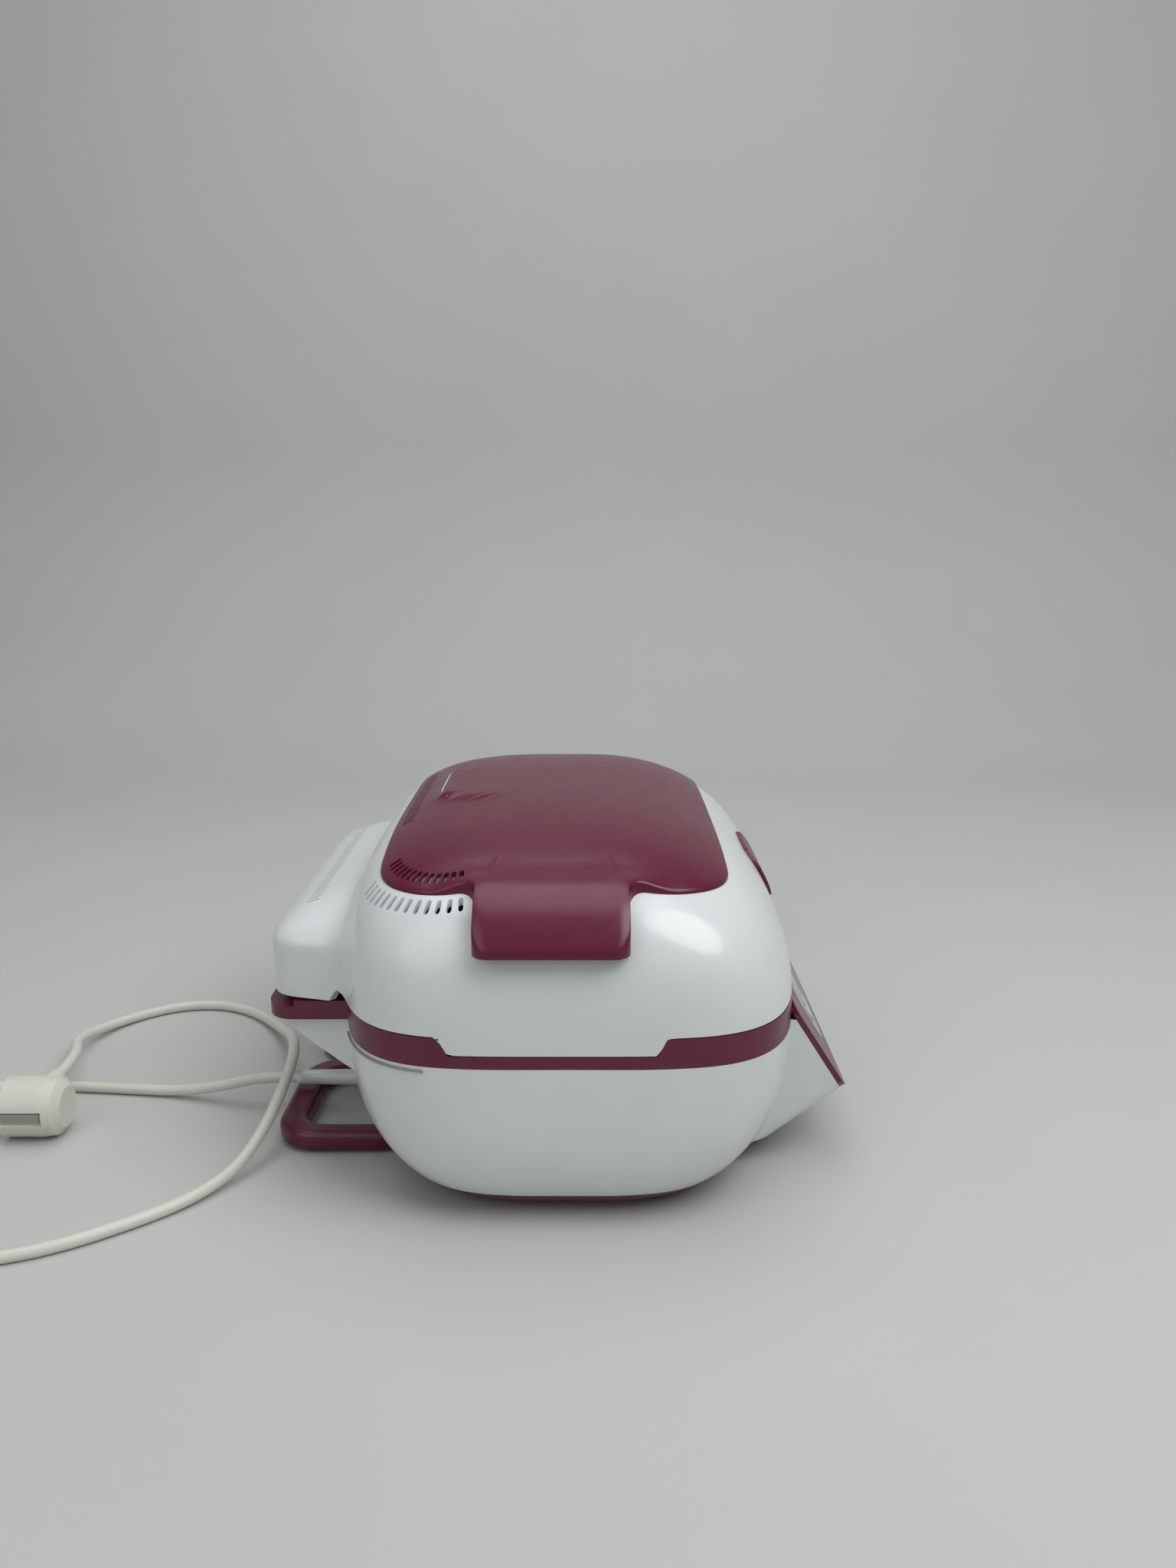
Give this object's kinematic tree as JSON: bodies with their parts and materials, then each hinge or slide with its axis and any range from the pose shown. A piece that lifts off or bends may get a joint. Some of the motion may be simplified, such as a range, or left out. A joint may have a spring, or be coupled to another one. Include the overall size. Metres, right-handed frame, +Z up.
{
  "type": "electric cake maker",
  "caption": "Countertop electric cake maker: pale domed lid with dark red cover, belt and side grips, cooking well, front panel and cord.",
  "frame": {"origin": "centre of the footprint of the appliance without its cord, on the floor plane", "axes": "+X to the appliance's right seen from behind it, from side grip to side grip; -Y towards the control panel; +Z up"},
  "size_m": [0.4216, 0.6195, 0.2081],
  "materials": {
    "white_plastic": "satin",
    "red_plastic": "satin",
    "grey_plastic": "satin",
    "clear_plastic": "gloss",
    "cord_plastic": "satin",
    "rubber": "matte",
    "coated_aluminium": "matte",
    "bare_aluminium": "satin",
    "steel": "satin",
    "circuit_board": "satin",
    "brass": "satin"
  },
  "bodies": {
    "base": {"base_pan": "red_plastic", "rubber_feet": "rubber", "lower_housing": "white_plastic", "storage_loops": "red_plastic", "belt_moulding": "red_plastic", "control_insert": "grey_plastic", "display_window": "clear_plastic", "display_module": "grey_plastic", "control_board": "circuit_board", "button_switches": "grey_plastic", "cooking_well": "coated_aluminium", "mould_rack": "steel", "lower_heater": "steel", "heat_shield": "bare_aluminium", "well_probe": "brass", "thermal_fuse": "steel", "power_board": "circuit_board", "power_relays": "grey_plastic", "cord_gland": "white_plastic", "mains_cord": "cord_plastic", "plug_body": "cord_plastic", "plug_earth": "steel", "plug_pins": "brass", "hinge_brackets": "steel", "bracket_screws": "steel", "hinge_pins": "steel", "corner_keepers": "steel"},
    "lid": {"lid_shell": "white_plastic", "lid_cover": "red_plastic", "lid_liner": "coated_aluminium", "upper_heater": "steel", "heater_clips": "steel", "lid_thermostat": "steel", "front_plate": "red_plastic"},
    "button_program": {"button_program": "grey_plastic"},
    "button_minus": {"button_minus": "grey_plastic"},
    "button_plus": {"button_plus": "grey_plastic"},
    "button_start": {"button_start": "grey_plastic"}
  },
  "joints": [
    {"name": "lid_hinge", "type": "hinge", "parent": "base", "child": "lid", "pos_m": [0, 0.162, 0.113], "axis": [-1, 0, 0], "range_deg": [0, 95]},
    {"name": "button_program_press", "type": "slide", "parent": "base", "child": "button_program", "axis": [0, 0.8572, -0.515], "range_m": [0, 0.0006], "stiffness_N_per_m": 1200, "springref_m": -0.0003},
    {"name": "button_minus_press", "type": "slide", "parent": "base", "child": "button_minus", "axis": [0, 0.8572, -0.515], "range_m": [0, 0.0006], "stiffness_N_per_m": 1200, "springref_m": -0.0003},
    {"name": "button_plus_press", "type": "slide", "parent": "base", "child": "button_plus", "axis": [0, 0.8572, -0.515], "range_m": [0, 0.0006], "stiffness_N_per_m": 1200, "springref_m": -0.0003},
    {"name": "button_start_press", "type": "slide", "parent": "base", "child": "button_start", "axis": [0, 0.8572, -0.515], "range_m": [0, 0.0006], "stiffness_N_per_m": 1200, "springref_m": -0.0003}
  ]
}
